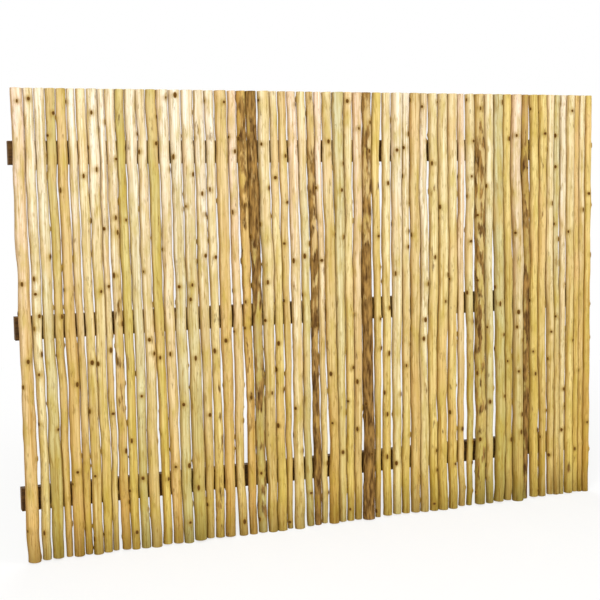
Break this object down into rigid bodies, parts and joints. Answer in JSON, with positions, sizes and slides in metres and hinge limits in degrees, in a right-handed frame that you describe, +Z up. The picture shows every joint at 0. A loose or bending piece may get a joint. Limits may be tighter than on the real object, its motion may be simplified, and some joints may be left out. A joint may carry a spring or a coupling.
{
  "type": "eucalyptus fence panel",
  "caption": "Upright screen of round peeled eucalyptus poles, side by side, nailed to three dark sawn rails behind.",
  "frame": {"origin": "on the ground, in the middle of the panel's length and depth", "axes": "+X along the fence, to the right as seen from the poles; +Y from the poles to the rails at the back; +Z up"},
  "size_m": [2.57, 0.0892, 1.8],
  "materials": {
    "peeled_pole": "peeled and weathered, matt",
    "barked_pole": "bark left on in patches, matt",
    "stained_rail": "sawn and stained dark brown, matt",
    "galvanised_nail": "galvanised, dull"
  },
  "bodies": {
    "root": {"nails": "galvanised_nail", "pole_01": "peeled_pole", "pole_02": "peeled_pole", "pole_03": "peeled_pole", "pole_04": "peeled_pole", "pole_05": "peeled_pole", "pole_06": "peeled_pole", "pole_07": "peeled_pole", "pole_08": "peeled_pole", "pole_09": "peeled_pole", "pole_10": "peeled_pole", "pole_11": "peeled_pole", "pole_12": "peeled_pole", "pole_13": "peeled_pole", "pole_14": "peeled_pole", "pole_15": "peeled_pole", "pole_16": "peeled_pole", "pole_17": "peeled_pole", "pole_18": "peeled_pole", "pole_19": "peeled_pole", "pole_20": "peeled_pole", "pole_21": "peeled_pole", "pole_22": "peeled_pole", "pole_23": "barked_pole", "pole_26": "peeled_pole", "pole_27": "peeled_pole", "pole_28": "peeled_pole", "pole_29": "barked_pole", "pole_32": "peeled_pole", "pole_33": "peeled_pole", "pole_34": "peeled_pole", "pole_35": "barked_pole", "pole_36": "peeled_pole", "pole_37": "peeled_pole", "pole_38": "peeled_pole", "pole_39": "peeled_pole", "pole_42": "peeled_pole", "pole_43": "peeled_pole", "pole_44": "peeled_pole", "pole_45": "peeled_pole", "pole_46": "peeled_pole", "pole_47": "barked_pole", "pole_48": "peeled_pole", "pole_49": "peeled_pole", "pole_50": "peeled_pole", "pole_51": "peeled_pole", "pole_52": "barked_pole", "pole_53": "peeled_pole", "pole_54": "peeled_pole", "pole_55": "peeled_pole", "pole_58": "peeled_pole", "pole_61": "peeled_pole", "poles_24_25": "peeled_pole", "poles_30_31": "peeled_pole", "poles_40_41": "peeled_pole", "poles_56_57": "peeled_pole", "poles_59_60": "peeled_pole", "rail_bottom": "stained_rail", "rail_middle": "stained_rail", "rail_top": "stained_rail"}
  },
  "joints": []
}
